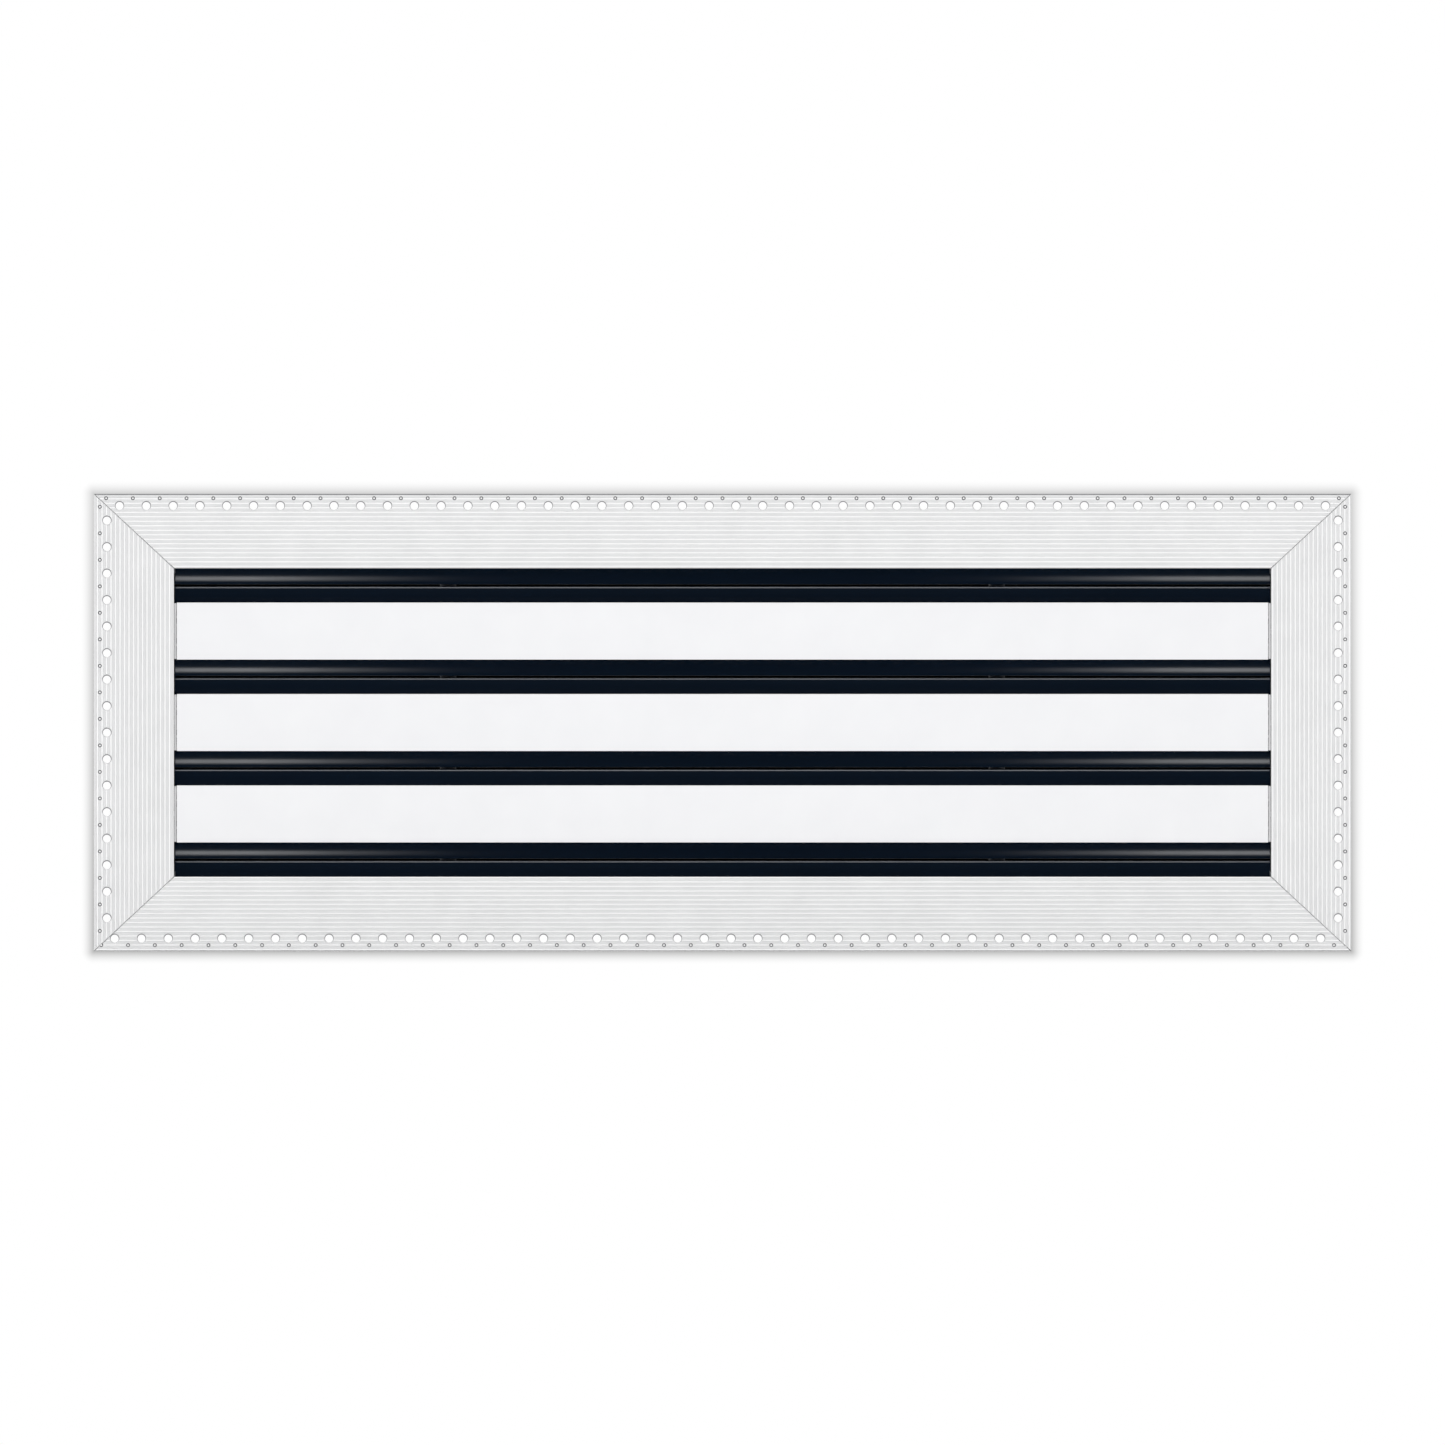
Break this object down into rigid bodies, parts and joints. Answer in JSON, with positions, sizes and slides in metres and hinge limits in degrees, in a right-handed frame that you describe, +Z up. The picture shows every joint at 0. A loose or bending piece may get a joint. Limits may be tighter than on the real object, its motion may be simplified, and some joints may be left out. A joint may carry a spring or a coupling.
{
  "type": "linear slot diffuser",
  "caption": "Linear slot diffuser with a ribbed, perforated plaster-in flange, mitred corners, flat bars and a pair of hinged air blades in each slot.",
  "frame": {"origin": "centre of the neck, in the plane of the flange's back, where it lies on the wall", "axes": "+X along the slots, to the right as seen from the front; +Y out of the back, into the wall; +Z up"},
  "size_m": [0.6984, 0.0401, 0.254],
  "materials": {
    "white_powder_coat": "satin",
    "black_powder_coat": "gloss",
    "zinc_steel": "satin",
    "rivet_aluminium": "satin"
  },
  "bodies": {
    "frame": {"bar_1": "white_powder_coat", "bar_2": "white_powder_coat", "bar_3": "white_powder_coat", "bar_clip_1_left": "white_powder_coat", "bar_clip_1_right": "white_powder_coat", "bar_clip_2_left": "white_powder_coat", "bar_clip_2_right": "white_powder_coat", "bar_clip_3_left": "white_powder_coat", "bar_clip_3_right": "white_powder_coat", "bottom_rail": "white_powder_coat", "clip_screw_1_left": "zinc_steel", "clip_screw_1_right": "zinc_steel", "clip_screw_2_left": "zinc_steel", "clip_screw_2_right": "zinc_steel", "clip_screw_3_left": "zinc_steel", "clip_screw_3_right": "zinc_steel", "corner_angle_bottom_left": "zinc_steel", "corner_angle_bottom_right": "zinc_steel", "corner_angle_top_left": "zinc_steel", "corner_angle_top_right": "zinc_steel", "left_end_frame": "white_powder_coat", "right_end_frame": "white_powder_coat", "rivet_bottom_left_end": "rivet_aluminium", "rivet_bottom_left_rail": "rivet_aluminium", "rivet_bottom_right_end": "rivet_aluminium", "rivet_bottom_right_rail": "rivet_aluminium", "rivet_top_left_end": "rivet_aluminium", "rivet_top_left_rail": "rivet_aluminium", "rivet_top_right_end": "rivet_aluminium", "rivet_top_right_rail": "rivet_aluminium", "rod_nut_left_bottom": "zinc_steel", "rod_nut_left_top": "zinc_steel", "rod_nut_right_bottom": "zinc_steel", "rod_nut_right_top": "zinc_steel", "spacer_tube_left_1": "zinc_steel", "spacer_tube_left_2": "zinc_steel", "spacer_tube_left_3": "zinc_steel", "spacer_tube_left_4": "zinc_steel", "spacer_tube_right_1": "zinc_steel", "spacer_tube_right_2": "zinc_steel", "spacer_tube_right_3": "zinc_steel", "spacer_tube_right_4": "zinc_steel", "tie_rod_left": "zinc_steel", "tie_rod_right": "zinc_steel", "top_rail": "white_powder_coat"},
    "lower_blade_1": {"lower_blade_1": "black_powder_coat"},
    "lower_blade_2": {"lower_blade_2": "black_powder_coat"},
    "lower_blade_3": {"lower_blade_3": "black_powder_coat"},
    "lower_blade_4": {"lower_blade_4": "black_powder_coat"},
    "upper_blade_1": {"upper_blade_1": "black_powder_coat"},
    "upper_blade_2": {"upper_blade_2": "black_powder_coat"},
    "upper_blade_3": {"upper_blade_3": "black_powder_coat"},
    "upper_blade_4": {"upper_blade_4": "black_powder_coat"}
  },
  "joints": [
    {"name": "upper_blade_1_hinge", "type": "hinge", "parent": "frame", "child": "upper_blade_1", "pos_m": [0, 0.0042, 0.0884], "axis": [1, 0, 0], "range_deg": [0, 90]},
    {"name": "lower_blade_1_hinge", "type": "hinge", "parent": "frame", "child": "lower_blade_1", "pos_m": [0, 0.0042, 0.064], "axis": [-1, 0, 0], "range_deg": [0, 90]},
    {"name": "upper_blade_2_hinge", "type": "hinge", "parent": "frame", "child": "upper_blade_2", "pos_m": [0, 0.0042, 0.0376], "axis": [1, 0, 0], "range_deg": [0, 90]},
    {"name": "lower_blade_2_hinge", "type": "hinge", "parent": "frame", "child": "lower_blade_2", "pos_m": [0, 0.0042, 0.0132], "axis": [-1, 0, 0], "range_deg": [0, 90]},
    {"name": "upper_blade_3_hinge", "type": "hinge", "parent": "frame", "child": "upper_blade_3", "pos_m": [0, 0.0042, -0.0132], "axis": [1, 0, 0], "range_deg": [0, 90]},
    {"name": "lower_blade_3_hinge", "type": "hinge", "parent": "frame", "child": "lower_blade_3", "pos_m": [0, 0.0042, -0.0376], "axis": [-1, 0, 0], "range_deg": [0, 90]},
    {"name": "upper_blade_4_hinge", "type": "hinge", "parent": "frame", "child": "upper_blade_4", "pos_m": [0, 0.0042, -0.064], "axis": [1, 0, 0], "range_deg": [0, 90]},
    {"name": "lower_blade_4_hinge", "type": "hinge", "parent": "frame", "child": "lower_blade_4", "pos_m": [0, 0.0042, -0.0884], "axis": [-1, 0, 0], "range_deg": [0, 90]}
  ]
}
